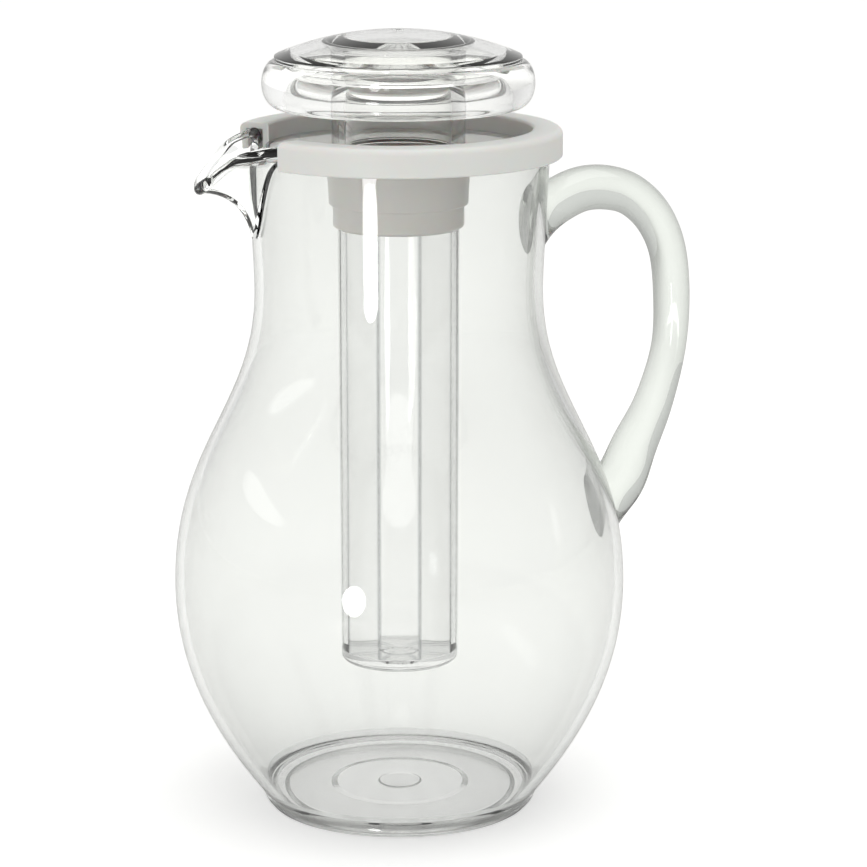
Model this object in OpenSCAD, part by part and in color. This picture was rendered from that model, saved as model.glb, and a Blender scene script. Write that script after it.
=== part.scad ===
// Clear plastic pitcher with a screw-off ice core hanging from its lid.
// The handle points along +X, the spout along -X, and the jug stands on z = 0.

/* [Jug] */
// Outer radius at the widest part of the belly
belly_r = 73.5; // [66:0.5:82]
// Height of the widest part of the belly
belly_z = 75; // [68:1:82]
// Outer radius at the narrowest part of the neck
neck_r = 46.5; // [45:0.5:48]
// Height of the narrowest part of the neck
neck_z = 172; // [165:1:178]
// Outer radius of the neck just below the rim
mouth_r = 48.4; // [47.5:0.1:49]
// Height of the top of the rim
rim_z = 222; // [216:1:230]
// Thickness of the moulded wall
wall_t = 2.9; // [2:0.1:3.6]
// Width of the rounded bead round the rim
bead_w = 4.5; // [4:0.1:4.6]
// Height of the rounded bead round the rim
bead_h = 4.6; // [4:0.1:5]

/* [Foot] */
// Outer radius of the waist just above the foot
foot_r = 45.3; // [43:0.1:48]
// Height of that waist
foot_z = 4.8; // [4:0.1:6]
// How far the ring that the jug stands on lies inside the waist
stand_in = 3.7; // [3.3:0.1:5]
// Width of the ring that the jug stands on
stand_w = 3.2; // [2:0.1:5]
// Height of the inside floor
floor_z = 6.8; // [6:0.1:8]
// Thickness of the floor
floor_t = 4; // [3:0.1:4.6]
// Radius of the shallow step under the floor
step_r = 22.9; // [18:0.1:28]
// Radius of the gate mark under the floor
gate_r = 7; // [5:0.1:10]

/* [Spout] */
// Reach of the lip, from the jug's axis to the middle of its bead
spout_reach = 64.9; // [60:0.1:70]
// How far the lip droops below the rim at its tip
spout_droop = 14.2; // [10:0.1:17]
// Height of the foot of the spout on the neck
spout_foot_z = 190.2; // [184:0.1:196]
// Half width of the opening that the spout fills
spout_half_w = 22.4; // [21:0.1:22.8]
// Thickness of the spout's skin
spout_t = 2.6; // [2:0.1:3]
// Radius of the bead along the lip
lip_bead_r = 1.95; // [1.6:0.05:2.2]

/* [Rim ring] */
// Outer radius of the clip-on ring
ring_r = 52.5; // [52.3:0.1:54]
// Inner radius of the clip-on ring
ring_bore_r = 42.8; // [42.2:0.1:42.9]
// Height of the ring
ring_h = 9.1; // [8:0.1:11]
// Thickness of the ring's top above the rim
ring_top_t = 2.1; // [1.6:0.1:3]
// Thickness of the ring's two legs
ring_leg_t = 2.2; // [1.8:0.1:2.2]
// Half angle of the gap that the ring leaves for the spout
ring_gap_half = 28.7; // [28.6:0.1:34]

/* [Handle] */
// Thickness of the handle at its thinnest, seen from the side
grip_t = 10.9; // [9:0.1:12]
// Width of the handle, across the hand
grip_w = 15.5; // [12:0.1:20]
// Height of the bonded pads
pad_h = 26; // [22:0.5:28]
// Width of the bonded pads
pad_w = 19; // [16:0.5:24]
// Height of the middle of the upper pad
pad_top_z = 191.3; // [188:0.1:195]
// Height of the middle of the lower pad
pad_low_z = 93.3; // [90:0.1:97]
// How far the handle's centre line reaches beyond the belly
grip_out = 19.9; // [17:0.1:24]

/* [Lid] */
// Height of the crown of the lid
crown_z = 254.9; // [252:0.1:262]
// Radius of the dome at its shoulder
dome_r = 39.5; // [38:0.1:41]
// Height of the dome's shoulder
shoulder_z = 247; // [245:0.1:249]
// Thickness of the dome
dome_t = 3; // [2:0.1:4]
// Radius of the lid at its widest
lid_r = 43.6; // [42.5:0.1:46]
// Height at which the lid is widest
lid_mid_z = 238.1; // [236:0.1:240]
// Height of the underside of the lid
lid_low_z = 230.8; // [229:0.1:233]
// Radius of the hollow inside the lid
lid_hollow_r = 36.4; // [33:0.1:37.5]
// Thickness of the lid's floor
lid_floor_t = 2.2; // [1.6:0.1:3]
// How far the dome's skirt reaches down inside the bowl
skirt_h = 5.2; // [3:0.1:5.4]
// Outer radius of the neck under the dome
stem_r = 21.4; // [20.9:0.1:22]
// Bore radius of the neck under the dome
stem_bore_r = 17; // [15:0.1:17.8]
// Thickness of the seat disc
disc_t = 2; // [2:0.1:2.6]

/* [Ice core] */
// Outer radius of the tube at its top
tube_r = 19.6; // [18:0.1:19.6]
// Radius of the tube's eight-sided bore, to its corners
tube_bore_r = 16.2; // [15:0.1:17]
// How much narrower the tube is at its bottom
tube_draft = 0.5; // [0:0.1:0.8]
// Height of the underside of the tube
tube_low_z = 48.4; // [40:0.1:60]
// Thickness of the tube's bottom
tube_floor_t = 3; // [2:0.1:5]
// Outer radius of the nut
nut_r = 21.1; // [21.1:0.1:21.8]
// Height of the underside of the nut
nut_low_z = 192; // [189:0.1:194]
// Height of the seam between the nut and its socket
nut_seam_z = 199.6; // [198:0.1:201]
// Radius of the socket at its lower end
socket_r = 22.4; // [21.8:0.1:22.8]
// Radius of the socket at its upper end
socket_top_r = 23; // [22.8:0.1:26]
// Thickness of the silicone washer
washer_t = 1.4; // [1:0.1:2]
// Thickness of the flange at the top of the tube
flange_t = 1.6; // [1.2:0.1:2]

/* [Hidden] */
$fn = 96;

// Overrun of every cut past the face it leaves
cut = 1;
// Clearance between bonded pieces
bond_gap = 0.05;
// Clearance of a running or screwed fit
fit_gap = 0.1;
// Clearance under a piece that is seated and lifts off
seat_gap = 0.1;
// Steps along one bent stretch of an outline
bend_steps = 14;
// Steps round a quarter of a small fillet
fillet_steps = 5;

// How far the two ends of each bend keep their direction, as shares of its height
belly_pull_share = 0.47;
neck_pull_share = 0.40;
foot_pull_share = 0.31;
foot_reach_share = 0.617;
mouth_pull_share = 0.19;
throat_pull_share = 0.40;
throat_bulge_share = 0.63;

// Points from p to s along a curve that leaves towards q and arrives from r
function bend(p, q, r, s, n = bend_steps) = [for (i = [0:n]) let (t = i / n, u = 1 - t)
    u * u * u * p + 3 * u * u * t * q + 3 * u * t * t * r + t * t * t * s];

// Points of an arc about c, with radii a across and b up, from angle g to angle h
function arc(c, a, b, g, h, n = fillet_steps) = [for (i = [0:n]) let (w = g + (h - g) * i / n)
    c + [a * cos(w), b * sin(w)]];

function unit(v) = v / norm(v);

// An outline moved to its left-hand side by the distance w, where it runs upwards
function moved_in(pts, w) = [for (i = [0:len(pts) - 1])
    let (d = unit(pts[min(i + 1, len(pts) - 1)] - pts[max(i - 1, 0)])) pts[i] + w * [-d[1], d[0]]];

// A smooth curve through the points c, where s runs from 0 to len(c) - 1
function through(c, s) = let (n = len(c) - 1, i = min(floor(s), n - 1), t = s - i,
    a = c[max(i - 1, 0)], b = c[i], d = c[i + 1], e = c[min(i + 2, n)])
    b + (d - a) * t / 2 + (2 * a - 5 * b + 4 * d - e) * t * t / 2
    + (3 * b - a - 3 * d + e) * t * t * t / 2;

// Outer outline of the jug, from the waist above the foot to the bead
bead_low_z = rim_z - bead_h;
throat_top_z = bead_low_z - bead_h / 2;
belly_bend = bend([foot_r, foot_z],
    [foot_r + foot_reach_share * (belly_r - foot_r), foot_z + foot_pull_share * (belly_z - foot_z)],
    [belly_r, belly_z - (belly_z - foot_z) * (1 - foot_reach_share + neck_pull_share) / 2],
    [belly_r, belly_z]);
neck_bend = bend([belly_r, belly_z], [belly_r, belly_z + belly_pull_share * (neck_z - belly_z)],
    [neck_r, neck_z - neck_pull_share * (neck_z - belly_z)], [neck_r, neck_z]);
mouth_bend = bend([neck_r, neck_z], [neck_r, neck_z + mouth_pull_share * (throat_top_z - neck_z)],
    [neck_r + throat_bulge_share * (mouth_r - neck_r),
    throat_top_z - throat_pull_share * (throat_top_z - neck_z)],
    [mouth_r, throat_top_z], bend_steps / 2);
skin = concat(belly_bend, [for (i = [1:len(neck_bend) - 1]) neck_bend[i]],
    [for (i = [1:len(mouth_bend) - 1]) mouth_bend[i]]);
lining = [for (p = moved_in(skin, wall_t)) if (p[1] > floor_z) p];

// The bead is flush with the inside of the neck
mouth_bore_r = mouth_r - wall_t;
bead_mid = [mouth_bore_r + bead_w / 2, rim_z - bead_h / 2];
bead_turn = 65;

// The floor plate plugs the bottom of the jug, and its seam shows just above the table
seam_z = foot_z / 3;
seam_r = foot_r - stand_in / 2 + bond_gap;
stand_r = foot_r - stand_in;
plug_r = stand_r - bond_gap;
foot_round = bend([foot_r, foot_z], [foot_r - bond_gap, (foot_z + seam_z) / 2],
    [(foot_r + seam_r) / 2, seam_z + bond_gap], [seam_r, seam_z], fillet_steps);
floor_r = lining[0][0];

// Everything inside the jug's outer skin, without the spout
module jug_fill(gap = 0) {
    rotate_extrude()
        polygon(concat([[0, 0], [foot_r + gap, 0]], [for (p = moved_in(skin, -gap)) p],
            [[mouth_r + gap, rim_z], [0, rim_z]]));
}

// Middle surface of the spout, between its crease on the neck and the bead along its lip
lip_end_z = rim_z - bead_h / 2 + spout_t / 2;
crease_r = mouth_r - wall_t / 2;
lip_end_x = sqrt(bead_mid[0] * bead_mid[0] - spout_half_w * spout_half_w);

// Shares of the half width, the reach and the droop, from the tip to the rim
lip_shares = [[0, 1, 1], [0.20, 0.926, 0.817], [0.44, 0.638, 0.38], [0.71, 0.402, 0.162], [1, 0, 0]];
// Shares of the half width and of the height, from the foot of the spout to the rim
crease_shares = [[0, 0], [0.20, 0.175], [0.545, 0.66], [0.75, 0.83], [1, 0.9]];
// Where the skin turns from climbing the neck to running out along the spout
turn_out_share = 0.17;
turn_up_share = 0.95;

spout_across = 24;
spout_along = 8;
lip_sides = 10;

function lip_point(v) = let (s = through(lip_shares, abs(v) * (len(lip_shares) - 1)),
    x = lip_end_x + s[1] * (spout_reach - lip_end_x))
    [-x, sign(v) * s[0] * spout_half_w, lip_end_z - s[2] * spout_droop];

function crease_point(v) = let (s = through(crease_shares, abs(v) * (len(crease_shares) - 1)),
    y = s[0] * spout_half_w)
    [-sqrt(crease_r * crease_r - y * y), sign(v) * y,
    spout_foot_z + s[1] * (lip_end_z - spout_foot_z)];

function spout_point(u, v) = let (a = crease_point(v), c = lip_point(v),
    b = [a[0] + turn_out_share * (c[0] - a[0]), a[1] + turn_out_share * (c[1] - a[1]),
    a[2] + turn_up_share * (c[2] - a[2])])
    (1 - u) * (1 - u) * a + 2 * u * (1 - u) * b + u * u * c;

slope_step = 0.02;

// A tube of given sides along a list of centres, with its rings given point by point
module swept(rings) {
    n = len(rings[0]);
    m = len(rings);
    body = [for (j = [0:m - 2], i = [0:n - 1])
        let (a = j * n + i, b = j * n + (i + 1) % n)
        each [[a, a + n, b], [b, a + n, b + n]]];
    caps = [for (i = [1:n - 2]) each [[0, i, i + 1],
        [(m - 1) * n, (m - 1) * n + i + 1, (m - 1) * n + i]]];
    polyhedron([for (r = rings) each r], concat(body, caps), convexity = 6);
}

// A ring of n points about c, square to d, with radii a along f and b across it
function ring_at(c, d, f, a, b, n) = let (e = unit(cross(d, f)), g = unit(cross(e, d)))
    [for (i = [0:n - 1]) let (w = 360 * i / n) c + a * cos(w) * g + b * sin(w) * e];

// The skin meets the round bead at this angle, measured from the way the skin runs out
lip_arc = 138;
lip_end_gap = -lip_bead_r * cos(lip_arc);
search_steps = 40;

// How far up the run the skin goes before the bead takes over
function skin_end(v) = max([for (k = [0:search_steps]) let (u = k / search_steps)
    if (norm(lip_point(v) - spout_point(u, v)) >= lip_end_gap) u]);

// A point of the spout's end faces stays clear of the cut end of the rim
function held(p) = let (h = spout_half_w - bond_gap) [p[0], max(-h, min(h, p[1])), p[2]];

// The root of the skin is as thick as the neck's wall and is cut along X, as the opening is
function root_point(r, v) = let (p = crease_point(v)) [-sqrt(r * r - p[1] * p[1]), p[1], p[2] + bond_gap];

// One closed section of the spout: its outer face, the round bead, then its inner face
function spout_section(v) = let (c = lip_point(v), last = skin_end(v),
    run = unit(spout_point(1, v) - spout_point(1 - slope_step, v)),
    side = unit(cross(run, lip_point(v + slope_step) - lip_point(v - slope_step))),
    faces = [for (i = [1:spout_along]) let (u = last * i / spout_along,
        p = spout_point(u, v), n = unit(cross(spout_point(u + slope_step, v) - p,
        spout_point(u, v + slope_step) - spout_point(u, v - slope_step))) * spout_t / 2)
        [p + n, p - n]])
    [for (p = concat([root_point(mouth_r, v)], [for (f = faces) f[0]],
    [for (i = [0:lip_sides]) let (w = lip_arc - 2 * lip_arc * i / lip_sides)
        c + lip_bead_r * (cos(w) * run + sin(w) * side)],
    [for (i = [spout_along - 1:-1:0]) faces[i][1]], [root_point(mouth_bore_r, v)])) held(p)];

module spout() {
    color([0.90, 0.91, 0.89, 0.35])
        swept([for (j = [0:spout_across]) spout_section(2 * j / spout_across - 1)]);
}

// What the spout opens in the wall of the neck, seen along X, with more room towards its two ends
end_room = 0.4;

module spout_opening() {
    half = [for (i = [1:spout_across / 2]) let (v = 2 * i / spout_across, p = crease_point(v))
        [p[1], p[2] - end_room * pow(v, 4)]];
    translate([-spout_reach, 0, 0]) rotate([90, 0, 90])
        linear_extrude(spout_reach - mouth_bore_r / 2)
            polygon(concat([[-spout_half_w, rim_z + cut]],
                [for (i = [len(half) - 1:-1:0]) [-half[i][0], half[i][1]]],
                [[0, spout_foot_z]], half, [[spout_half_w, rim_z + cut]]));
}

module jug_body() {
    color([0.90, 0.91, 0.89, 0.35]) difference() {
        rotate_extrude()
            polygon(concat([[plug_r + bond_gap, seam_z]], [for (i = [len(foot_round) - 1:-1:1])
                foot_round[i]], skin,
                arc(bead_mid, bead_w / 2, bead_h / 2, -bead_turn, 180, 2 * fillet_steps),
                [for (i = [len(lining) - 1:-1:0]) lining[i]], [[floor_r, floor_z],
                [plug_r + bond_gap, floor_z]]));
        spout_opening();
    }
}

// Depths of the shallow step and of the gate mark under the floor
step_depth = floor_t / 4;
gate_depth = floor_t / 6;

module base_plate() {
    under_z = floor_z - floor_t;
    color([0.88, 0.90, 0.88, 0.45]) rotate_extrude() polygon(concat(
        [[0, floor_z], [0, under_z + step_depth - gate_depth],
        [gate_r - gate_depth, under_z + step_depth - gate_depth], [gate_r, under_z + step_depth],
        [step_r - 2 * step_depth, under_z + step_depth], [step_r, under_z],
        [stand_r - stand_w - under_z / 2, under_z], [stand_r - stand_w, 0], [stand_r, 0]],
        arc([stand_r, seam_z - bond_gap], seam_r - stand_r, seam_z - bond_gap, -90, 0),
        [[plug_r, seam_z - bond_gap], [plug_r, floor_z]]));
}

// Centre line of the handle: places across from the neck and up from the upper pad, as shares of
// the reach and of the drop, with its thickness there as a share of the thinnest
neck_face_x = mouth_r - wall_t / 2;
belly_face_x = belly_r - wall_t;
handle_shares = [[0.32, 0.103, 1.36], [0.52, 0.103, 1.33], [0.70, 0.071, 1.26], [0.86, -0.005, 1.19],
    [0.965, -0.12, 1.10], [1, -0.285, 1.06], [0.98, -0.455, 1], [0.875, -0.635, 1.14],
    [0.735, -0.78, 1.40]];
pad_top_share = 1.38;
pad_low_share = 1.58;
// Steps across and up from each pad to the next point of the line
pad_top_lead = 6;
pad_top_rise = 6.4;
pad_low_lead = 5.2;
pad_low_rise = 9.5;
handle_run = belly_r + grip_out - neck_face_x;
handle_drop = pad_top_z - pad_low_z;
handle_line = concat([[neck_face_x - wall_t, pad_top_z, pad_top_share],
    [neck_face_x + pad_top_lead, pad_top_z + pad_top_rise, pad_top_share]],
    [for (s = handle_shares) [neck_face_x + s[0] * handle_run, pad_top_z + s[1] * handle_drop, s[2]]],
    [[belly_face_x + pad_low_lead, pad_low_z + pad_low_rise, pad_low_share],
    [belly_face_x - wall_t, pad_low_z, pad_low_share]]);
handle_rings = 72;
handle_sides = 28;
// The pad spreads and the handle turns square to it within this length, the spread more sharply
flare_length = 12;
spread_power = 5;
turn_power = 1.5;
// The lower pad leans with the belly
pad_low_lean = 12;
low_way = -[cos(pad_low_lean), sin(pad_low_lean)];

function flat(p) = [p[0], p[1]];

module handle() {
    last = len(handle_line) - 1;
    rings = [for (j = [0:handle_rings]) let (s = last * j / handle_rings,
        p = through(handle_line, s), q = flat(through(handle_line, min(last, s + slope_step))
        - through(handle_line, max(0, s - slope_step))),
        near = min(norm(flat(p - handle_line[0])), norm(flat(p - handle_line[last]))) - wall_t,
        left = max(0, min(1, 1 - near / flare_length)),
        k = pow(left, spread_power), w = pow(left, turn_power), t = p[2] * grip_t,
        d = (1 - w) * unit(q) + w * (2 * s < last ? [1, 0] : low_way))
        ring_at([p[0], 0, p[1]], [d[0], 0, d[1]], [0, 1, 0],
        (grip_w + k * (pad_w - grip_w)) / 2, (t + k * (pad_h - t)) / 2, handle_sides)];
    color([0.87, 0.89, 0.86, 0.5]) difference() {
        swept(rings);
        jug_fill(bond_gap);
    }
}

// The ring clips over the bead, with a shallow lip below it, and carries the lid on three lugs
ring_top_z = rim_z + ring_top_t;
ring_low_z = ring_top_z - ring_h;
ring_round = ring_top_t;
lug_h = 1.2;
lug_in = 1.2;
lug_half = 13;
lug_angles = [0, 112, 248];
clip_in = 0.5;

module rim_ring() {
    slot_in = ring_bore_r + ring_leg_t;
    slot_out = ring_r - ring_leg_t;
    half_round = ring_round / 2;
    color([0.91, 0.91, 0.89]) union() {
        rotate([0, 0, ring_gap_half - 180]) rotate_extrude(angle = 360 - 2 * ring_gap_half)
            polygon(concat([[ring_bore_r, ring_low_z], [slot_in, ring_low_z], [slot_in, rim_z],
                [slot_out, rim_z], [slot_out, ring_low_z + 2 * clip_in],
                [slot_out - clip_in, ring_low_z + clip_in], [slot_out - clip_in, ring_low_z],
                [ring_r, ring_low_z]],
                arc([ring_r - ring_round, ring_top_z - ring_round], ring_round, ring_round, 0, 90),
                arc([ring_bore_r + half_round, ring_top_z - half_round], half_round, half_round,
                90, 180)));
        for (a = lug_angles) rotate([0, 0, a - lug_half])
            rotate_extrude(angle = 2 * lug_half)
                translate([ring_bore_r - lug_in, ring_low_z]) square([lug_in + clip_in, lug_h]);
    }
}

// The seat disc drops into the ring, and its seal runs in a groove round its edge
disc_low_z = ring_low_z + lug_h + seat_gap;
disc_r = ring_bore_r - 4 * fit_gap;
seal_wire_r = disc_t / 2 - 2 * fit_gap;
seal_r = ring_bore_r - seal_wire_r - fit_gap;
disc_mid_z = disc_low_z + disc_t / 2;

module seat_disc() {
    color([0.88, 0.90, 0.88, 0.4]) difference() {
        translate([0, 0, disc_low_z]) cylinder(r = disc_r, h = disc_t);
        translate([0, 0, disc_low_z - cut]) cylinder(r = stem_r + bond_gap, h = disc_t + 2 * cut);
        rotate_extrude() translate([seal_r, disc_mid_z]) circle(r = seal_wire_r + fit_gap / 2, $fn = 32);
    }
}

module lid_seal() {
    color([0.93, 0.93, 0.92, 0.7]) rotate_extrude()
        translate([seal_r, disc_mid_z]) circle(r = seal_wire_r, $fn = 32);
}

// The dome and its neck are one moulding; a skirt under the shoulder fits inside the bowl
stem_low_z = nut_seam_z + 2 * flange_t + washer_t + stem_r / 4;
shoulder_h = dome_t / 2;
skirt_t = dome_t - 2 * fit_gap;
stem_fillet = 2;
// The gate mark on the crown
mark_r = 1.7;
mark_h = 0.3;
dome_rise = crown_z - shoulder_z;
crown_r = (dome_r * dome_r + dome_rise * dome_rise) / (2 * dome_rise);
function dome_z(x, radius) = crown_z - crown_r + sqrt(radius * radius - x * x);

module lid_dome() {
    ceiling_r = crown_r - dome_t;
    skirt_r = lid_hollow_r - bond_gap;
    edge_z = shoulder_z - shoulder_h;
    fillet_x = stem_r + stem_fillet;
    steps = 2 * bend_steps;
    color([0.89, 0.91, 0.89, 0.4]) rotate_extrude() polygon(concat(
        [[0, crown_z + mark_h], [mark_r, crown_z + mark_h]],
        [for (i = [0:steps]) let (x = mark_r + (dome_r - mark_r) * i / steps) [x, dome_z(x, crown_r)]],
        [[dome_r, edge_z], [skirt_r, edge_z], [skirt_r, edge_z - skirt_h],
        [skirt_r - skirt_t, edge_z - skirt_h]],
        [for (i = [0:bend_steps]) let (x = skirt_r - skirt_t
            + (fillet_x - skirt_r + skirt_t) * i / bend_steps) [x, dome_z(x, ceiling_r)]],
        arc([fillet_x, dome_z(fillet_x, ceiling_r) - stem_fillet], stem_fillet, stem_fillet, 100, 180),
        [[stem_r, stem_low_z], [stem_bore_r, stem_low_z]],
        [for (i = [0:bend_steps]) let (x = stem_bore_r * (1 - i / bend_steps))
            [x, dome_z(x, ceiling_r)]]));
}

module lid_bowl() {
    top_z = shoulder_z - shoulder_h - bond_gap;
    top_r = dome_r;
    low_r = lid_hollow_r + lid_floor_t;
    hollow_z = lid_low_z + lid_floor_t;
    color([0.88, 0.90, 0.88, 0.4]) rotate_extrude() polygon(concat(
        [[stem_r + bond_gap, lid_low_z]],
        arc([low_r, lid_mid_z], lid_r - low_r, lid_mid_z - lid_low_z, -90, 0, bend_steps),
        arc([top_r - bond_gap, lid_mid_z], lid_r - top_r + bond_gap, top_z - lid_mid_z, 0, 90, bend_steps),
        [[lid_hollow_r, top_z]],
        arc([lid_hollow_r - lid_floor_t, hollow_z + lid_floor_t], lid_floor_t, lid_floor_t, 0, -90),
        [[stem_r + bond_gap, hollow_z]]));
}

// The socket holds the neck above and takes the threaded nut below
flange_low_z = stem_low_z - washer_t - flange_t;
thread_r = nut_r - 2 * fit_gap;
bore_r = tube_r + fit_gap;
socket_low_z = nut_seam_z + seat_gap;

module core_socket() {
    color([0.86, 0.84, 0.81]) rotate_extrude() polygon([
        [thread_r + fit_gap, socket_low_z], [socket_r, socket_low_z],
        [socket_top_r, disc_low_z - bond_gap], [stem_r + bond_gap, disc_low_z - bond_gap],
        [stem_r + bond_gap, stem_low_z], [thread_r + fit_gap, stem_low_z - fit_gap]]);
}

module core_washer() {
    color([0.92, 0.92, 0.90]) translate([0, 0, stem_low_z - washer_t + bond_gap]) difference() {
        cylinder(r = thread_r - fit_gap, h = washer_t - 2 * bond_gap);
        translate([0, 0, -cut]) cylinder(r = stem_bore_r, h = washer_t + 2 * cut);
    }
}

// The tube hangs by its flange from the top of the nut, and its bore has flat sides
tube_round = 1.6;
bore_sides = 8;
bore_turn = 7;
nub_r = 3.4;
nub_h = 0.7;

module core_tube() {
    low_r = tube_r - tube_draft;
    hang_z = flange_low_z + flange_t - fit_gap;
    floor_top_z = tube_low_z + tube_floor_t;
    color([0.90, 0.91, 0.90, 0.4]) difference() {
        rotate_extrude() polygon(concat(
            [[0, tube_low_z - nub_h], [nub_r, tube_low_z - nub_h], [nub_r + nub_h, tube_low_z]],
            arc([low_r - tube_round, tube_low_z + tube_round], tube_round, tube_round, -90, 0),
            [[tube_r, nut_low_z], [tube_r, flange_low_z], [thread_r - fit_gap, flange_low_z],
            [thread_r - fit_gap, hang_z], [0, hang_z]]));
        rotate([0, 0, bore_turn]) translate([0, 0, floor_top_z])
            cylinder(r = tube_bore_r, h = hang_z + cut - floor_top_z, $fn = bore_sides);
    }
}

nut_chamfer = 1;

module core_nut() {
    color([0.87, 0.85, 0.82]) rotate_extrude() polygon([
        [bore_r, nut_low_z], [nut_r - nut_chamfer, nut_low_z], [nut_r, nut_low_z + nut_chamfer],
        [nut_r, nut_seam_z], [thread_r, nut_seam_z], [thread_r, flange_low_z - fit_gap],
        [bore_r, flange_low_z - fit_gap]]);
}

jug_body();
spout();
base_plate();
handle();
rim_ring();
seat_disc();
lid_seal();
lid_dome();
lid_bowl();
core_socket();
core_washer();
core_tube();
core_nut();
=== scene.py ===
import bpy
import bmesh
import math
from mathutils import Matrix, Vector


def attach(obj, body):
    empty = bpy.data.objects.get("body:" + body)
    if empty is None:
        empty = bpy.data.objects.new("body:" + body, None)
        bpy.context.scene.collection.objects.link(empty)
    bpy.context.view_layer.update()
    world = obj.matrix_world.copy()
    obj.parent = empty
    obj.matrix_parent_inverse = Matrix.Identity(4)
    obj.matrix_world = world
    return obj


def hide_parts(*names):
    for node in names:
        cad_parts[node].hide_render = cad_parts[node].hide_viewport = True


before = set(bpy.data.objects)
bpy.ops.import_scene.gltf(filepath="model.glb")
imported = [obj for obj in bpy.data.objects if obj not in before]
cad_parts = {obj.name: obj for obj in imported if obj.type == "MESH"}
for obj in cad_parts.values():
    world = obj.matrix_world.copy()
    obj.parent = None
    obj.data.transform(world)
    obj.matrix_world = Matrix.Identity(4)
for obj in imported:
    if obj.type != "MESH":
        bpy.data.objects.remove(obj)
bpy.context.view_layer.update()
mm = 0.001
print("frame loaded")

# the camera stands where the fit to the jug's rings puts it, in metres and degrees
view = {
    "place": (-0.2960, -1.0603, 0.3732),
    "tilt": 77.229,
    "turn": -16.18,
    "lens": 144.03, "sensor": 36,
    "near": 0.05, "far": 30,
}
bpy.ops.object.camera_add(location=view["place"],
                          rotation=(math.radians(view["tilt"]), 0, math.radians(view["turn"])))
camera = bpy.context.object
camera.data.lens = view["lens"]
camera.data.sensor_width = view["sensor"]
camera.data.clip_start = view["near"]
camera.data.clip_end = view["far"]
scene = bpy.context.scene
scene.camera = camera
scene.view_settings.view_transform = "Standard"
print("camera set")


# a socket of a shader node, with the plain operators written as maths nodes
class Wire:
    def __init__(self, finish, socket):
        self.finish = finish
        self.socket = socket

    def __add__(self, other): return self.finish.maths("ADD", self, other)
    def __radd__(self, other): return self.finish.maths("ADD", other, self)
    def __sub__(self, other): return self.finish.maths("SUBTRACT", self, other)
    def __rsub__(self, other): return self.finish.maths("SUBTRACT", other, self)
    def __mul__(self, other): return self.finish.maths("MULTIPLY", self, other)
    def __rmul__(self, other): return self.finish.maths("MULTIPLY", other, self)


noiseMiddle = (0.3, 0.7)


# the nodes of one material, or of the node tree that is given
class Finish:
    def __init__(self, name, tree=None):
        if tree is None:
            self.material = bpy.data.materials.new(name)
            self.material.use_nodes = True
            tree = self.material.node_tree
            tree.nodes.clear()
        self.tree = tree

    # a node of any kind: its settings first, then the values or wires of its sockets
    def node(self, kind, settings=None, inputs=None, output=0):
        made = self.tree.nodes.new("ShaderNode" + kind)
        for key, value in (settings or {}).items():
            setattr(made, key, value)
        for key, value in (inputs or {}).items():
            if isinstance(value, Wire):
                self.tree.links.new(value.socket, made.inputs[key])
            else:
                made.inputs[key].default_value = value
        return Wire(self, made.outputs[output])

    def maths(self, kind, a, b):
        return self.node("Math", {"operation": kind}, {0: a, 1: b})

    def parts(self, vector):
        split = self.node("SeparateXYZ", None, {"Vector": vector}).socket.node
        return [Wire(self, split.outputs[k]) for k in "XYZ"]

    def along(self, vector, way):
        return self.node("VectorMath", {"operation": "DOT_PRODUCT"}, {0: vector, 1: way}, output="Value")

    def rays(self, *kinds):
        path = self.node("LightPath").socket.node
        return [Wire(self, path.outputs["Is " + kind + " Ray"]) for kind in kinds]

    def places(self, scale=(1, 1, 1)):
        return self.node("Mapping", None, {
            "Vector": self.node("TexCoord", output="Object"), "Scale": scale})

    def ramp(self, value, start, end, low=0.0, high=1.0, way="LINEAR"):
        return self.node("MapRange", {"interpolation_type": way}, {
            "Value": value, "From Min": start, "From Max": end, "To Min": low, "To Max": high})

    def noise(self, places, size, detail=3, roughness=0.5):
        return self.node("TexNoise", None, {
            "Vector": places, "Scale": 1 / size, "Detail": detail, "Roughness": roughness})

    # the middle of a noise, where nearly all of it lies, spread from one value to another
    def between(self, mask, low, high):
        start, end = noiseMiddle
        return self.ramp(mask, start, end, low, high)

    def tint(self, mask, first, second):
        return self.node("Mix", {"data_type": "RGBA"}, {"Factor": mask, 6: first, 7: second}, output=2)

    def bump(self, height, depth, strength):
        return self.node("Bump", None, {"Height": height, "Distance": depth, "Strength": strength})

    def surface(self, shader, volume=None):
        out = self.tree.nodes.new("ShaderNodeOutputMaterial")
        self.tree.links.new(shader.socket, out.inputs["Surface"])
        if volume is not None:
            self.tree.links.new(volume.socket, out.inputs["Volume"])
        return self.material


# clear moulded plastic: slow waves from the mould, a faint haze, a tint that grows with depth, and a
# painted edge shade that darkens it towards the edges
clearPlastic = {
    "bending": 1.53,
    "waveSize": 18 * mm, "waveDepth": 0.02 * mm, "waveStrength": 0.3, "waveStretch": (1, 1, 0.6),
    "grain": 2 * mm, "polish": 0.0, "haze": 0.03,
    "cloud": 0.985,
}


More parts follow.
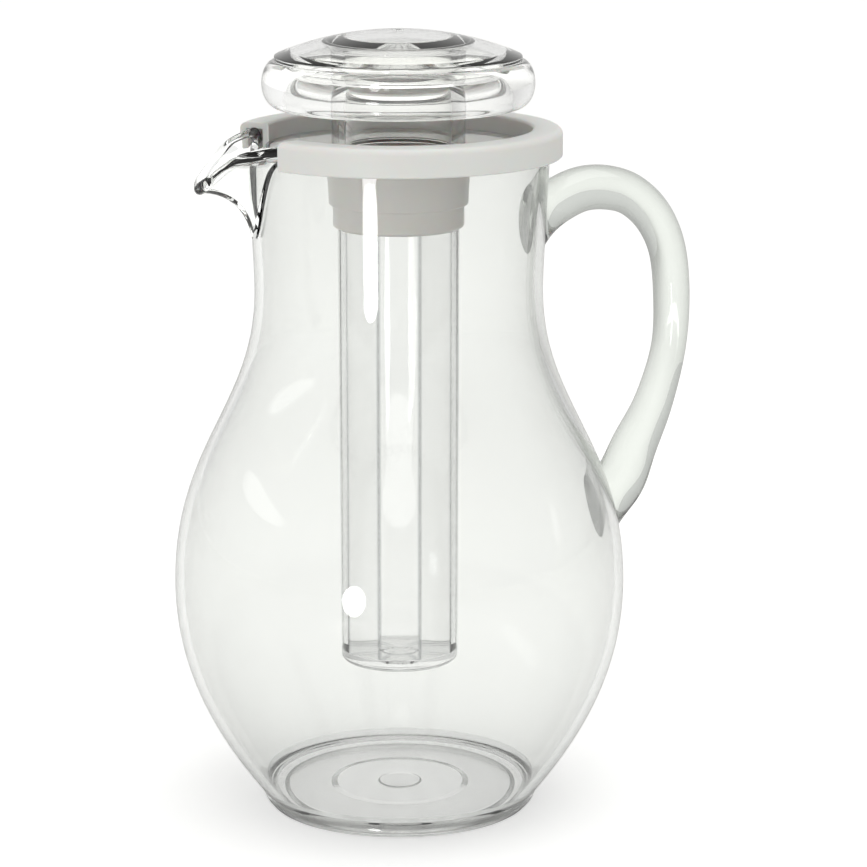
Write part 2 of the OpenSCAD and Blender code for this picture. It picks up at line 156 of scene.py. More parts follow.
def clearFinish(name, tint, edge, edgeShadePower, depthTint, density, shadeLines=None, frost=None):
    look = clearPlastic
    finish = Finish(name)
    places = finish.places(look["waveStretch"])
    slow = finish.noise(places, look["waveSize"], 2)
    fine = finish.noise(places, look["grain"])
    cloudy = tuple(c * look["cloud"] for c in tint) + (1,)
    edgeShade = tuple(c * edge for c in tint) + (1,)
    # painted shade: the colour darkens towards the edges by facing, standing in for the dark surroundings
    # seen there and partly for the longer path through the wall
    facing = finish.node("LayerWeight", None, {"Blend": 0.5}, output="Facing")
    rim = finish.maths("POWER", facing, edgeShadePower)
    colour = finish.tint(rim, finish.tint(slow, tint + (1,), cloudy), edgeShade)
    # painted shade: dark lines at the flute corners darken the colour
    if shadeLines:
        colour = finish.tint(fluteShadeMask(finish, shadeLines), colour, shadeLines["tint"])
    polish = finish.between(fine, look["polish"], look["haze"])
    if frost:
        height = finish.parts(finish.node("TexCoord", output="Object"))[2]
        polish = polish + frost["haze"] * finish.ramp(height, frost["low"], frost["high"], 1.0, 0.0)
    shader = finish.node("BsdfPrincipled", None, {
        "Base Color": colour, "Roughness": polish, "IOR": look["bending"], "Transmission Weight": 1.0,
        "Normal": finish.bump(slow, look["waveDepth"], look["waveStrength"])})
    volume = finish.node("VolumeAbsorption", None, {"Color": depthTint + (1,), "Density": density})
    return finish.surface(shader, volume)


# painted shade: dark lines along the edges between the tube's flutes, standing in for light bent away at
# those corners, evenly round the axis and inside the bore only
def fluteShadeMask(finish, shadeLines):
    x, y, _ = finish.parts(finish.node("TexCoord", output="Object"))
    count = shadeLines["count"]
    share = finish.maths("ARCTAN2", y, x) * (count / (2 * math.pi)) - shadeLines["start"] * count / 360
    line = finish.ramp(finish.maths("PINGPONG", share, 0.5), shadeLines["inner"], shadeLines["outer"], 1.0, 0.0)
    return line * finish.maths("LESS_THAN", x * x + y * y, shadeLines["within"] ** 2)


# the painted shade at the flute corners: how many lines, where they start, their width and their dark
# tint
fluteShadeLines = {
    "count": 8, "start": 7, "inner": 0.02, "outer": 0.07, "within": 17 * mm,
    "tint": (0.3, 0.31, 0.32, 1),
}
underFrost = {"low": 3.6 * mm, "high": 4.2 * mm, "haze": 0.17}
# edge and its power set the painted shade at each finish's edges
clearLooks = {
    "jugClear": {"tint": (0.828, 0.834, 0.823), "edge": 0.60, "edgeShadePower": 2.5,
                 "depthTint": (0.78, 0.82, 0.78), "density": 8.0},
    "spoutClear": {"tint": (0.93, 0.935, 0.925), "edge": 0.95, "edgeShadePower": 2.5,
                   "depthTint": (0.80, 0.83, 0.80), "density": 3.0},
    "floorClear": {"tint": (1.0, 1.0, 0.995), "edge": 1.0, "edgeShadePower": 2.5,
                   "depthTint": (0.86, 0.88, 0.86), "density": 1.0, "frost": underFrost},
    "handleClear": {"tint": (0.745, 0.755, 0.74), "edge": 0.08, "edgeShadePower": 1.2,
                    "depthTint": (0.80, 0.84, 0.78), "density": 34.0},
    "lidClear": {"tint": (0.998, 1.0, 0.99), "edge": 0.85, "edgeShadePower": 3.0,
                 "depthTint": (0.86, 0.86, 0.81), "density": 2.5},
    "tubeClear": {"tint": (1.0, 1.0, 1.0), "edge": 0.45, "edgeShadePower": 2.0,
                  "depthTint": (0.90, 0.91, 0.92), "density": 2.0, "shadeLines": fluteShadeLines},
}
jugClear, spoutClear, floorClear, handleClear, lidClear, tubeClear = (
    clearFinish(name, **look) for name, look in clearLooks.items())
print("clear finishes made")


# satin moulded plastic and silicone: cloudy colour, and a fine grain in the gloss and the bump
satin = {
    "cloudSize": 22 * mm, "smoother": 0.05, "rougher": 0.06, "bending": 1.5, "coatRoughness": 0.3,
    "softDepth": 4 * mm, "grainDepth": 0.03 * mm, "grainStrength": 0.35,
}


def satinFinish(name, tint, shade, roughness, grain, coat, soft, inside=None):
    look = satin
    finish = Finish(name)
    places = finish.places()
    speck = finish.noise(places, grain, 2, 0.6)
    colour = finish.tint(finish.noise(places, look["cloudSize"]), tint + (1,), shade + (1,))
    # painted light: a lighter tint inside a radius, where parts above shade the surface
    if inside:
        flat = finish.places((1, 1, 0))
        out = finish.node("VectorMath", {"operation": "LENGTH"}, {0: flat}, output="Value")
        within = finish.maths("LESS_THAN", out, inside["within"])
        colour = finish.tint(within, colour, inside["tint"] + (1,))
    shader = finish.node("BsdfPrincipled", None, {
        "Base Color": colour, "IOR": look["bending"],
        "Roughness": finish.between(speck, roughness - look["smoother"], roughness + look["rougher"]),
        "Coat Weight": coat, "Coat Roughness": look["coatRoughness"],
        "Subsurface Weight": soft, "Subsurface Scale": look["softDepth"],
        "Normal": finish.bump(speck, look["grainDepth"], look["grainStrength"])})
    return finish.surface(shader)


# painted light on the ring's inner wall: a lighter, warmer tint within the radius, where the lid above
# shades it
ringInsidePaintedLight = {"within": 43.5 * mm, "tint": (0.97, 0.955, 0.91)}
satinLooks = {
    "ringSatin": {"tint": (0.855, 0.853, 0.825), "shade": (0.88, 0.877, 0.852), "roughness": 0.42,
                  "grain": 0.5 * mm, "coat": 0.1, "soft": 0.25, "inside": ringInsidePaintedLight},
    "collarSatin": {"tint": (0.96, 0.89, 0.855), "shade": (0.975, 0.91, 0.875), "roughness": 0.36,
                    "grain": 0.4 * mm, "coat": 0.2, "soft": 0.2},
    "siliconeMilk": {"tint": (0.80, 0.79, 0.77), "shade": (0.76, 0.75, 0.73), "roughness": 0.55,
                     "grain": 0.7 * mm, "coat": 0.0, "soft": 0.4},
}
ringSatin, collarSatin, siliconeMilk = (satinFinish(name, **look) for name, look in satinLooks.items())
print("satin finishes made")


# outlines are lists of places in millimetres, out from the axis and up from the table
def bend(p, q, r, s, steps=28):
    p, q, r, s = (Vector(v) for v in (p, q, r, s))
    line = []
    for i in range(steps + 1):
        t = i / steps
        u = 1 - t
        line.append(u ** 3 * p + 3 * u * u * t * q + 3 * u * t * t * r + t ** 3 * s)
    return line


def arc(centre, across, up, first, last, steps=8):
    turns = [math.radians(first + (last - first) * i / steps) for i in range(steps + 1)]
    return [Vector((centre[0] + across * math.cos(w), centre[1] + up * math.sin(w))) for w in turns]


# a line moved to its left by a width
def movedIn(line, width):
    moved = []
    for i, p in enumerate(line):
        d = (line[min(i + 1, len(line) - 1)] - line[max(i - 1, 0)]).normalized()
        moved.append(p + width * Vector((-d.y, d.x)))
    return moved


# a smooth curve through the points, where s runs from 0 to their number less one
def through(points, s):
    last = len(points) - 1
    i = min(int(s), last - 1)
    t = s - i
    a, b, d, e = (Vector(points[k]) for k in (max(i - 1, 0), i, i + 1, min(i + 2, last)))
    return (b + (d - a) * t / 2 + (2 * a - 5 * b + 4 * d - e) * t * t / 2
            + (3 * b - a - 3 * d + e) * t ** 3 / 2)


def choose(piece):
    bpy.ops.object.select_all(action="DESELECT")
    piece.select_set(True)
    bpy.context.view_layer.objects.active = piece


weld = 0.002 * mm


# the selected skin welded, its holes filled and its faces turned outwards, back in object mode
def closeUp():
    bpy.ops.mesh.select_all(action="SELECT")
    bpy.ops.mesh.remove_doubles(threshold=weld)
    bpy.ops.mesh.fill_holes(sides=0)
    bpy.ops.mesh.select_all(action="SELECT")
    bpy.ops.mesh.normals_make_consistent(inside=False)
    bpy.ops.object.mode_set(mode="OBJECT")


def applied(piece, kind, **settings):
    choose(piece)
    modifier = piece.modifiers.new(kind.lower(), kind)
    for key, value in settings.items():
        setattr(modifier, key, value)
    bpy.ops.object.modifier_apply(modifier=modifier.name)


def cutBy(piece, cutter):
    applied(piece, "BOOLEAN", operation="DIFFERENCE", object=cutter, solver="EXACT")
    bpy.data.objects.remove(cutter)


# an outline drawn point by point with extrude, left in edit mode with all of it selected
def drawn(name, line, closed):
    bpy.ops.object.select_all(action="DESELECT")
    bpy.ops.mesh.primitive_circle_add(vertices=3, radius=mm)
    piece = bpy.context.object
    piece.name = name
    bpy.ops.object.mode_set(mode="EDIT")
    mesh = bmesh.from_edit_mesh(piece.data)
    mesh.verts.ensure_lookup_table()
    mesh.verts[0].co = line[0]
    bmesh.ops.delete(mesh, geom=list(mesh.verts)[1:], context="VERTS")
    mesh.verts.ensure_lookup_table()
    mesh.verts[0].select_set(True)
    bmesh.update_edit_mesh(piece.data)
    for before, after in zip(line, line[1:]):
        bpy.ops.mesh.extrude_vertices_move(TRANSFORM_OT_translate={"value": after - before})
    if closed:
        mesh = bmesh.from_edit_mesh(piece.data)
        mesh.verts.ensure_lookup_table()
        bpy.ops.mesh.select_all(action="DESELECT")
        mesh.verts[0].select_set(True)
        mesh.verts[-1].select_set(True)
        bpy.ops.mesh.edge_face_add()
    bpy.ops.mesh.select_all(action="SELECT")
    return piece


# an outline spun about the jug's axis into a closed body
def turned(name, outline, steps=160, sweep=360.0, start=0.0):
    w = math.radians(start)
    line = [Vector((p[0] * math.cos(w), p[0] * math.sin(w), p[1])) * mm for p in outline]
    onAxis = outline[0][0] == 0 and outline[-1][0] == 0
    piece = drawn(name, line, not onAxis)
    bpy.ops.mesh.spin(steps=steps, angle=math.radians(sweep), center=(0, 0, 0), axis=(0, 0, -1))
    closeUp()
    return piece


# rings of points, one after another, skinned by a grid whose seam is merged and whose ends are filled
def lofted(name, rings):
    around, along = len(rings[0]), len(rings)
    bpy.ops.object.select_all(action="DESELECT")
    bpy.ops.mesh.primitive_grid_add(x_subdivisions=around, y_subdivisions=along - 1, size=mm)
    piece = bpy.context.object
    piece.name = name
    for j, ring in enumerate(rings):
        for i in range(around + 1):
            piece.data.vertices[j * (around + 1) + i].co = ring[i % around] * mm
    bpy.ops.object.mode_set(mode="EDIT")
    closeUp()
    return piece


# smooth up to the crease angle with large faces kept flat, then the finish and the frame's names
def finished(piece, material, body, slot, *nodes, angle=32):
    choose(piece)
    bpy.ops.object.shade_smooth_by_angle(angle=math.radians(angle))
    applied(piece, "WEIGHTED_NORMAL", keep_sharp=True)
    piece.data.materials.clear()
    piece.data.materials.append(material)
    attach(piece, body)
    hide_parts(*nodes)
    print(piece.name, "made,", len(piece.data.polygons), "faces")


# the jug's blown-up pear, from the seam under its foot to the bead round its mouth
jug = {
    "bellyR": 73.5, "bellyZ": 75,
    "neckR": 46.5, "neckZ": 172,
    "mouthR": 48.4, "rimZ": 222,
    "wall": 2.9, "beadW": 4.5, "beadH": 4.6,
    "footR": 45.3, "footZ": 4.8, "standR": 41.6,
    "floorZ": 6.8, "bondGap": 0.05,
    "footOut": 0.617, "footUp": 0.31, "bellyLow": 0.3915, "bellyHigh": 0.47,
    "neckLow": 0.40, "neckHigh": 0.19, "throatOut": 0.63, "throatLow": 0.40,
    "beadFrom": -65, "around": 192,
}
beadLowZ = jug["rimZ"] - jug["beadH"]
throatZ = beadLowZ - jug["beadH"] / 2
beadMid = (jug["mouthR"] - jug["wall"] + jug["beadW"] / 2, jug["rimZ"] - jug["beadH"] / 2)
seamZ = jug["footZ"] / 3
seamR = (jug["footR"] + jug["standR"]) / 2 + jug["bondGap"]
plugR = jug["standR"] - jug["bondGap"]


def jugSkin():
    foot, belly, neck = ((jug[k + "R"], jug[k + "Z"]) for k in ("foot", "belly", "neck"))
    low, high = belly[1] - foot[1], neck[1] - belly[1]
    top = throatZ - neck[1]
    line = bend(foot, (foot[0] + jug["footOut"] * (belly[0] - foot[0]), foot[1] + jug["footUp"] * low),
                (belly[0], belly[1] - low * jug["bellyLow"]), belly)
    line += bend(belly, (belly[0], belly[1] + jug["bellyHigh"] * high),
                 (neck[0], neck[1] - jug["neckLow"] * high), neck)[1:]
    throatR = neck[0] + jug["throatOut"] * (jug["mouthR"] - neck[0])
    line += bend(neck, (neck[0], neck[1] + jug["neckHigh"] * top),
                 (throatR, throatZ - jug["throatLow"] * top), (jug["mouthR"], throatZ), 14)[1:]
    return line


def jugOutline():
    skin = jugSkin()
    lining = [p for p in movedIn(skin, jug["wall"]) if p.y > jug["floorZ"]]
    foot = (jug["footR"], jug["footZ"])
    footRound = bend(foot, (foot[0] - jug["bondGap"], (foot[1] + seamZ) / 2),
                     ((foot[0] + seamR) / 2, seamZ + jug["bondGap"]), (seamR, seamZ), 8)
    edge = plugR + jug["bondGap"]
    return ([Vector((edge, seamZ))] + footRound[:0:-1] + skin
            + arc(beadMid, jug["beadW"] / 2, jug["beadH"] / 2, jug["beadFrom"], 180, 20)
            + lining[::-1] + [Vector((lining[0].x, jug["floorZ"])), Vector((edge, jug["floorZ"]))])


# the drooping spout: a skin that climbs from a crease on the neck to a round bead along the lip
spout = {
    "reach": 64.9, "droop": 14.2,
    "footZ": 190.2, "halfWidth": 22.4,
    "skin": 2.6, "bead": 1.95,
    "across": 56, "along": 14, "beadSides": 16, "cutSteps": 40,
    "probe": 0.02, "search": 80, "creaseAngle": 50,
    "turnOut": 0.17, "turnUp": 0.95, "beadTurn": 138,
    "lip": [(0, 1, 1), (0.20, 0.926, 0.817), (0.44, 0.638, 0.38), (0.71, 0.402, 0.162), (1, 0, 0)],
    "crease": [(0, 0), (0.20, 0.175), (0.545, 0.66), (0.75, 0.83), (1, 0.9)],
}
lipEndZ = jug["rimZ"] - jug["beadH"] / 2 + spout["skin"] / 2
creaseR = jug["mouthR"] - jug["wall"] / 2
lipEndX = math.sqrt(beadMid[0] ** 2 - spout["halfWidth"] ** 2)


def lipPoint(v):
    s = through(spout["lip"], abs(v) * (len(spout["lip"]) - 1))
    x = lipEndX + s[1] * (spout["reach"] - lipEndX)
    return Vector((-x, math.copysign(s[0] * spout["halfWidth"], v), lipEndZ - s[2] * spout["droop"]))


def creasePoint(v):
    s = through(spout["crease"], abs(v) * (len(spout["crease"]) - 1))
    y = s[0] * spout["halfWidth"]
    return Vector((-math.sqrt(creaseR ** 2 - y * y), math.copysign(y, v),
                   spout["footZ"] + s[1] * (lipEndZ - spout["footZ"])))


def spoutPoint(u, v):
    a, c = creasePoint(v), lipPoint(v)
    b = Vector((a.x + spout["turnOut"] * (c.x - a.x), a.y + spout["turnOut"] * (c.y - a.y),
                a.z + spout["turnUp"] * (c.z - a.z)))
    return (1 - u) ** 2 * a + 2 * u * (1 - u) * b + u * u * c


def rootPoint(radius, v):
    p = creasePoint(v)
    return Vector((-math.sqrt(radius ** 2 - p.y ** 2), p.y, p.z + jug["bondGap"]))


def spoutSection(v):
    step, search = spout["probe"], spout["search"]
    lip = lipPoint(v)
    clear = -spout["bead"] * math.cos(math.radians(spout["beadTurn"]))
    last = max(k / search for k in range(search + 1) if (lip - spoutPoint(k / search, v)).length >= clear)
    run = (spoutPoint(1, v) - spoutPoint(1 - step, v)).normalized()
    side = run.cross(lipPoint(v + step) - lipPoint(v - step)).normalized()
    outer, inner = [rootPoint(jug["mouthR"], v)], [rootPoint(jug["mouthR"] - jug["wall"], v)]
    for i in range(1, spout["along"] + 1):
        u = last * i / spout["along"]
        p = spoutPoint(u, v)
        n = (spoutPoint(u + step, v) - p).cross(spoutPoint(u, v + step) - spoutPoint(u, v - step))
        n = n.normalized() * spout["skin"] / 2
        outer.append(p + n)
        inner.append(p - n)
    bead = []
    for i in range(spout["beadSides"] + 1):
        w = math.radians(spout["beadTurn"] * (1 - 2 * i / spout["beadSides"]))
        bead.append(lip + spout["bead"] * (math.cos(w) * run + math.sin(w) * side))
    edge = spout["halfWidth"] - jug["bondGap"]
    loop = outer + bead + inner[:0:-1] + inner[:1]
    return [Vector((p.x, max(-edge, min(edge, p.y)), p.z)) for p in loop]


# what the spout opens in the neck, seen along X
def spoutCutter():
    half = [creasePoint(k / spout["cutSteps"]) for k in range(1, spout["cutSteps"] + 1)]
    top = jug["rimZ"] + 1
    side = spout["halfWidth"]
    flat = [(-side, top)] + [(-p.y, p.z) for p in half[::-1]] + [(0, spout["footZ"])]
    flat += [(p.y, p.z) for p in half] + [(side, top)]
    cutter = drawn("spoutCutter", [Vector((-spout["reach"], y, z)) * mm for y, z in flat], True)
    bpy.ops.mesh.edge_face_add()
    bpy.ops.mesh.extrude_region_move(
        TRANSFORM_OT_translate={"value": ((spout["reach"] - jug["mouthR"] / 2) * mm, 0, 0)})
    closeUp()
    return cutter


jugShell = turned("jugShell", jugOutline(), jug["around"])
cutBy(jugShell, spoutCutter())
finished(jugShell, jugClear, "jug", "jug_plastic", "jug_body")
pourSpout = lofted("pourSpout", [spoutSection(2 * j / spout["across"] - 1)
                                 for j in range(spout["across"] + 1)])
finished(pourSpout, spoutClear, "jug", "jug_plastic", "spout", angle=spout["creaseAngle"])

# the floor plate plugs the jug's bottom; its underside has a shallow step and a gate mark
floor = {
    "thick": 4, "stepR": 22.9, "stepDepth": 1.0, "standW": 3.2,
    "gateR": 7, "gateDepth": 0.67, "gateRound": 0.7, "gateLip": 0.1,
    "standRound": 0.5, "coveW": 1.4, "creaseAngle": 24,
}


def floorOutline():
    under = jug["floorZ"] - floor["thick"]
    raised = under + floor["stepDepth"]
    inR = jug["standR"] - floor["standW"]
    foot = seamZ - jug["bondGap"]
    gateZ, gateRound, lip = raised - floor["gateDepth"], floor["gateRound"], floor["gateLip"]
    soft, coveR = floor["standRound"], inR - floor["coveW"]
    return ([Vector((0, jug["floorZ"])), Vector((0, gateZ))]
            + arc((floor["gateR"] - gateRound, gateZ + gateRound / 2), gateRound, gateRound / 2,
                  -90, 0, 4)
            + [Vector((floor["gateR"] + lip, raised - lip)), Vector((floor["gateR"] + soft, raised)),
               Vector((floor["stepR"] - 2 * floor["stepDepth"], raised)), Vector((floor["stepR"], under)),
               Vector((coveR, under))]
            + arc((coveR, under - soft - lip), floor["coveW"] / 2, soft + lip, 90, 0, 5)
            + arc((inR + soft, soft), soft, soft, 180, 270, 5)
            + arc((jug["standR"], foot), seamR - jug["standR"], foot, -90, 0, 6)
            + [Vector((plugR, foot)), Vector((plugR, jug["floorZ"]))])


floorPlate = turned("floorPlate", floorOutline())
finished(floorPlate, floorClear, "jug", "base_plastic", "base_plate", angle=floor["creaseAngle"])

# the solid handle flares into the two pads that are bonded to the jug
grip = {
    "thick": 10.9, "wide": 15.5,
    "padHigh": 26, "padWide": 19,
    "topZ": 191.3, "lowZ": 93.3, "out": 19.9,
    "topLead": 6, "topRise": 6.4, "topShare": 1.38,
    "lowLead": 5.2, "lowRise": 9.5, "lowShare": 1.58, "lowLean": 12,
    "flare": 12, "spread": 5, "turning": 1.5,
    "rings": 156, "sides": 40, "probe": 0.02, "creaseAngle": 40,
    "line": [(0.32, 0.103, 1.36), (0.52, 0.103, 1.33), (0.70, 0.071, 1.26), (0.86, -0.005, 1.19),
             (0.965, -0.12, 1.10), (1, -0.285, 1.06), (0.98, -0.455, 1), (0.875, -0.635, 1.14),
             (0.735, -0.78, 1.40)],
}


def gripRings():
    wall = jug["wall"]
    neckX, bellyX = jug["mouthR"] - wall / 2, jug["bellyR"] - wall
    run, drop = jug["bellyR"] + grip["out"] - neckX, grip["topZ"] - grip["lowZ"]
    line = [Vector((neckX - wall, grip["topZ"], grip["topShare"])),
            Vector((neckX + grip["topLead"], grip["topZ"] + grip["topRise"], grip["topShare"]))]
    line += [Vector((neckX + a * run, grip["topZ"] + b * drop, c)) for a, b, c in grip["line"]]
    line += [Vector((bellyX + grip["lowLead"], grip["lowZ"] + grip["lowRise"], grip["lowShare"])),
             Vector((bellyX - wall, grip["lowZ"], grip["lowShare"]))]
    last, probe = len(line) - 1, grip["probe"]
    lean = math.radians(grip["lowLean"])
    lowWay = -Vector((math.cos(lean), math.sin(lean)))
    rings = []
    for j in range(grip["rings"] + 1):
        s = last * j / grip["rings"]
        p = through(line, s)
        q = (through(line, min(last, s + probe)) - through(line, max(0, s - probe))).xy.normalized()
        near = min((p - line[0]).xy.length, (p - line[-1]).xy.length) - wall
        left = max(0, min(1, 1 - near / grip["flare"]))
        k, turn = left ** grip["spread"], left ** grip["turning"]
        d = ((1 - turn) * q + turn * (Vector((1, 0)) if 2 * s < last else lowWay)).normalized()
        thick = p.z * grip["thick"]
        a = (grip["wide"] + k * (grip["padWide"] - grip["wide"])) / 2
        b = (thick + k * (grip["padHigh"] - thick)) / 2
        around = [2 * math.pi * i / grip["sides"] for i in range(grip["sides"])]
        rings.append([Vector((p.x - b * math.sin(w) * d.y, a * math.cos(w), p.y + b * math.sin(w) * d.x))
                      for w in around])
    return rings


# the jug as a solid body, larger all round by a gap, to cut the handle's ends with
def jugFill(gap):
    skin = movedIn(jugSkin(), -gap)
    return turned("jugFill", [Vector((0, 0)), Vector((jug["footR"] + gap, 0))] + skin
                  + [Vector((jug["mouthR"] + gap, jug["rimZ"])), Vector((0, jug["rimZ"]))], jug["around"])


sideHandle = lofted("sideHandle", gripRings())
cutBy(sideHandle, jugFill(jug["bondGap"]))
finished(sideHandle, handleClear, "jug", "handle_plastic", "handle", angle=grip["creaseAngle"])

# the ring clips over the mouth's bead, open for the spout, with three lugs for the lid's seat
ring = {
    "outR": 52.5, "inR": 42.8, "high": 9.1, "topT": 2.1, "leg": 2.2,
    "gapHalf": 28.7, "clip": 0.5, "corner": 2.1,
    "lugHigh": 1.2, "lugIn": 1.2, "lugHalf": 13, "lugs": (0, 112, 248),
    "chamfer": 0.3, "outChamfer": 0.4, "edgeRound": 0.35, "edgeAngle": 60,
    "around": 150, "lugSteps": 12,
}
ringTopZ = jug["rimZ"] + ring["topT"]
ringLowZ = ringTopZ - ring["high"]


def ringOutline():
    inR, outR = ring["inR"], ring["outR"]
    slotIn, slotOut = inR + ring["leg"], outR - ring["leg"]
    low, top, rim, c = ringLowZ, ringTopZ, jug["rimZ"], ring["clip"]
    corner, small, large = ring["corner"], ring["chamfer"], ring["outChamfer"]
    half = corner / 2
    return ([Vector((inR + small, low)), Vector((slotIn - small, low)), Vector((slotIn, low + small)),
             Vector((slotIn, rim)), Vector((slotOut, rim)), Vector((slotOut, low + 2 * c)),
             Vector((slotOut - c, low + c)), Vector((slotOut - c, low)), Vector((outR - large, low)),
             Vector((outR, low + large))]
            + arc((outR - corner, top - corner), corner, corner, 0, 90, 8)
            + arc((inR + half, top - half), half, half, 90, 180, 6)
            + [Vector((inR, low + small))])


rimRing = turned("rimRing", ringOutline(), ring["around"], 360 - 2 * ring["gapHalf"],
                 ring["gapHalf"] - 180)
lugInR, lugOutR = ring["inR"] - ring["lugIn"], ring["inR"] + ring["clip"]
lugTopZ = ringLowZ + ring["lugHigh"]
for place in ring["lugs"]:
    lug = turned("rimLug", [Vector((lugInR, ringLowZ)), Vector((lugOutR, ringLowZ)),
                            Vector((lugOutR, lugTopZ)), Vector((lugInR, lugTopZ))],
                 ring["lugSteps"], 2 * ring["lugHalf"], place - ring["lugHalf"])
    choose(rimRing)
    lug.select_set(True)
    bpy.ops.object.join()
applied(rimRing, "BEVEL", width=ring["edgeRound"] * mm, segments=2, limit_method="ANGLE",
        angle_limit=math.radians(ring["edgeAngle"]))
finished(rimRing, ringSatin, "jug", "ring_plastic", "rim_ring")

# the seat disc and the silicone seal in its groove
seat = {"thick": 2, "fitGap": 0.1, "rest": 0.1, "stemR": 21.4, "sealSides": 24}
discLowZ = lugTopZ + seat["rest"]
discTopZ = discLowZ + seat["thick"]
discR = ring["inR"] - 4 * seat["fitGap"]
sealWire = seat["thick"] / 2 - 2 * seat["fitGap"]
sealR = ring["inR"] - sealWire - seat["fitGap"]
discMidZ = discLowZ + seat["thick"] / 2
groove = sealWire + seat["fitGap"] / 2
grooveTurn = math.degrees(math.acos((discR - sealR) / groove))
discInR = seat["stemR"] + jug["bondGap"]
seatDisc = turned("seatDisc", [Vector((discInR, discLowZ)), Vector((discR, discLowZ))]
                  + arc((sealR, discMidZ), groove, groove, -grooveTurn, grooveTurn - 360, 24)
                  + [Vector((discR, discTopZ)), Vector((discInR, discTopZ))])
finished(seatDisc, lidClear, "lid", "lid_plastic", "seat_disc")
sealSides = seat["sealSides"]
lidSeal = turned("lidSeal", arc((sealR, discMidZ), sealWire, sealWire,
                                0, 360 - 360 / sealSides, sealSides - 1))
finished(lidSeal, siliconeMilk, "lid_seat", "silicone", "lid_seal")

# the lid: a domed cap in one moulding with its neck, over a round-sided bowl
lid = {
    "crownZ": 254.9, "domeR": 39.5, "shoulderZ": 247, "domeT": 3,
    "wideR": 43.6, "midZ": 238.1, "lowZ": 230.8,
    "hollowR": 36.4, "floorT": 2.2, "skirtH": 5.2, "skirtT": 2.8,
    "stemR": 21.4, "stemBoreR": 17, "stemLowZ": 209.55, "fillet": 2,
    "markR": 1.7, "markH": 0.3, "markRound": 0.15,
    "rimRound": 0.3, "rimRise": 0.35, "skirtRound": 0.2, "innerRound": 0.6,
    "crownSteps": 48, "innerSteps": 16,
}
domeRise = lid["crownZ"] - lid["shoulderZ"]
crownR = (lid["domeR"] ** 2 + domeRise ** 2) / (2 * domeRise)
edgeZ = lid["shoulderZ"] - lid["domeT"] / 2


# the height of the dome at a place out from the axis, where radius is the sphere's
def domeZ(x, radius):
    return lid["crownZ"] - crownR + math.sqrt(radius ** 2 - x * x)


def domeOutline():
    ceiling = crownR - lid["domeT"]
    skirtR = lid["hollowR"] - jug["bondGap"]
    skirtInR = skirtR - lid["skirtT"]
    skirtZ = edgeZ - lid["skirtH"]
    fillet = lid["fillet"]
    filletX = lid["stemR"] + fillet
    markR, markTop, markRound = lid["markR"], lid["crownZ"] + lid["markH"], lid["markRound"]
    soft, small, rim = lid["innerRound"], lid["skirtRound"], lid["rimRound"]
    inR = lid["stemBoreR"] - soft
    crownSteps, innerSteps = lid["crownSteps"], lid["innerSteps"]
    out = [markR + (lid["domeR"] - markR) * i / crownSteps for i in range(crownSteps)]
    under = [skirtInR + (filletX - skirtInR) * i / innerSteps for i in range(innerSteps)]
    inward = [inR * (1 - i / innerSteps) for i in range(1, innerSteps + 1)]
    return ([Vector((0, markTop)), Vector((markR - markRound, markTop)),
             Vector((markR, markTop - markRound))]
            + [Vector((x, domeZ(x, crownR))) for x in out]
            + arc((lid["domeR"] - rim, lid["shoulderZ"] - rim), rim, lid["rimRise"], 70, 0, 4)
            + [Vector((lid["domeR"], edgeZ)), Vector((skirtR, edgeZ)), Vector((skirtR, skirtZ + small)),
               Vector((skirtR - small, skirtZ)), Vector((skirtInR + soft, skirtZ)),
               Vector((skirtInR, skirtZ + soft))]
            + [Vector((x, domeZ(x, ceiling))) for x in under]
            + arc((filletX, domeZ(filletX, ceiling) - fillet), fillet, fillet, 90, 180, 10)
            + [Vector((lid["stemR"], lid["stemLowZ"])), Vector((lid["stemBoreR"], lid["stemLowZ"]))]
            + arc((inR, domeZ(inR, ceiling) - soft), soft, soft, 0, 90, 6)
            + [Vector((x, domeZ(x, ceiling))) for x in inward])


def bowlOutline():
    wide, mid, low, cove = lid["wideR"], lid["midZ"], lid["lowZ"], lid["floorT"]
    topR, topZ = lid["domeR"] - jug["bondGap"], edgeZ - jug["bondGap"]
    lowR, inR = lid["hollowR"] + cove, lid["stemR"] + jug["bondGap"]
    return ([Vector((inR, low))]
            + arc((lowR, mid), wide - lowR, mid - low, -90, 0, 20)
            + arc((topR, mid), wide - topR, topZ - mid, 0, 90, 20)[1:]
            + [Vector((lid["hollowR"], topZ))]
            + arc((lid["hollowR"] - cove, low + 2 * cove), cove, cove, 0, -90, 8)
            + [Vector((inR, low + cove))])


lidDome = turned("lidDome", domeOutline())
finished(lidDome, lidClear, "lid", "lid_plastic", "lid_dome")
lidBowl = turned("lidBowl", bowlOutline())
finished(lidBowl, lidClear, "lid", "lid_plastic", "lid_bowl")

# the core: a socket on the lid's neck, a washer, the tube hung by its flange and the nut that holds it
core = {
    "tubeR": 19.6, "boreR": 16.2, "draft": 0.5, "lowZ": 48.4, "floorT": 3,
    "nutR": 21.1, "nutLowZ": 192, "seamZ": 199.6, "threadStep": 0.2,
    "socketR": 22.4, "socketTopR": 23, "washerT": 1.4, "flangeT": 1.6,
    "runGap": 0.1, "bondGap": 0.05, "socketRound": 0.25, "edgeRound": 0.2,
    "nutEdge": [(1.1, 0), (0.5, 0.35), (0.1, 0.8), (0, 1.2)],
    "round": 1.6, "nubR": 3.4, "nubH": 0.7,
    "flutes": 8, "fluteTurn": 7, "fluteBulge": 0.45, "fluteSteps": 8,
    "boreFoot": [(0.7, 0), (0.25, 0.12), (0, 0.5)],
    "around": 128, "creaseAngle": 20,
}
stemLowZ = lid["stemLowZ"]
flangeLowZ = stemLowZ - core["washerT"] - core["flangeT"]
runGap, edgeRound = core["runGap"], core["edgeRound"]
threadR = core["nutR"] - core["threadStep"]
holeR = core["tubeR"] + runGap
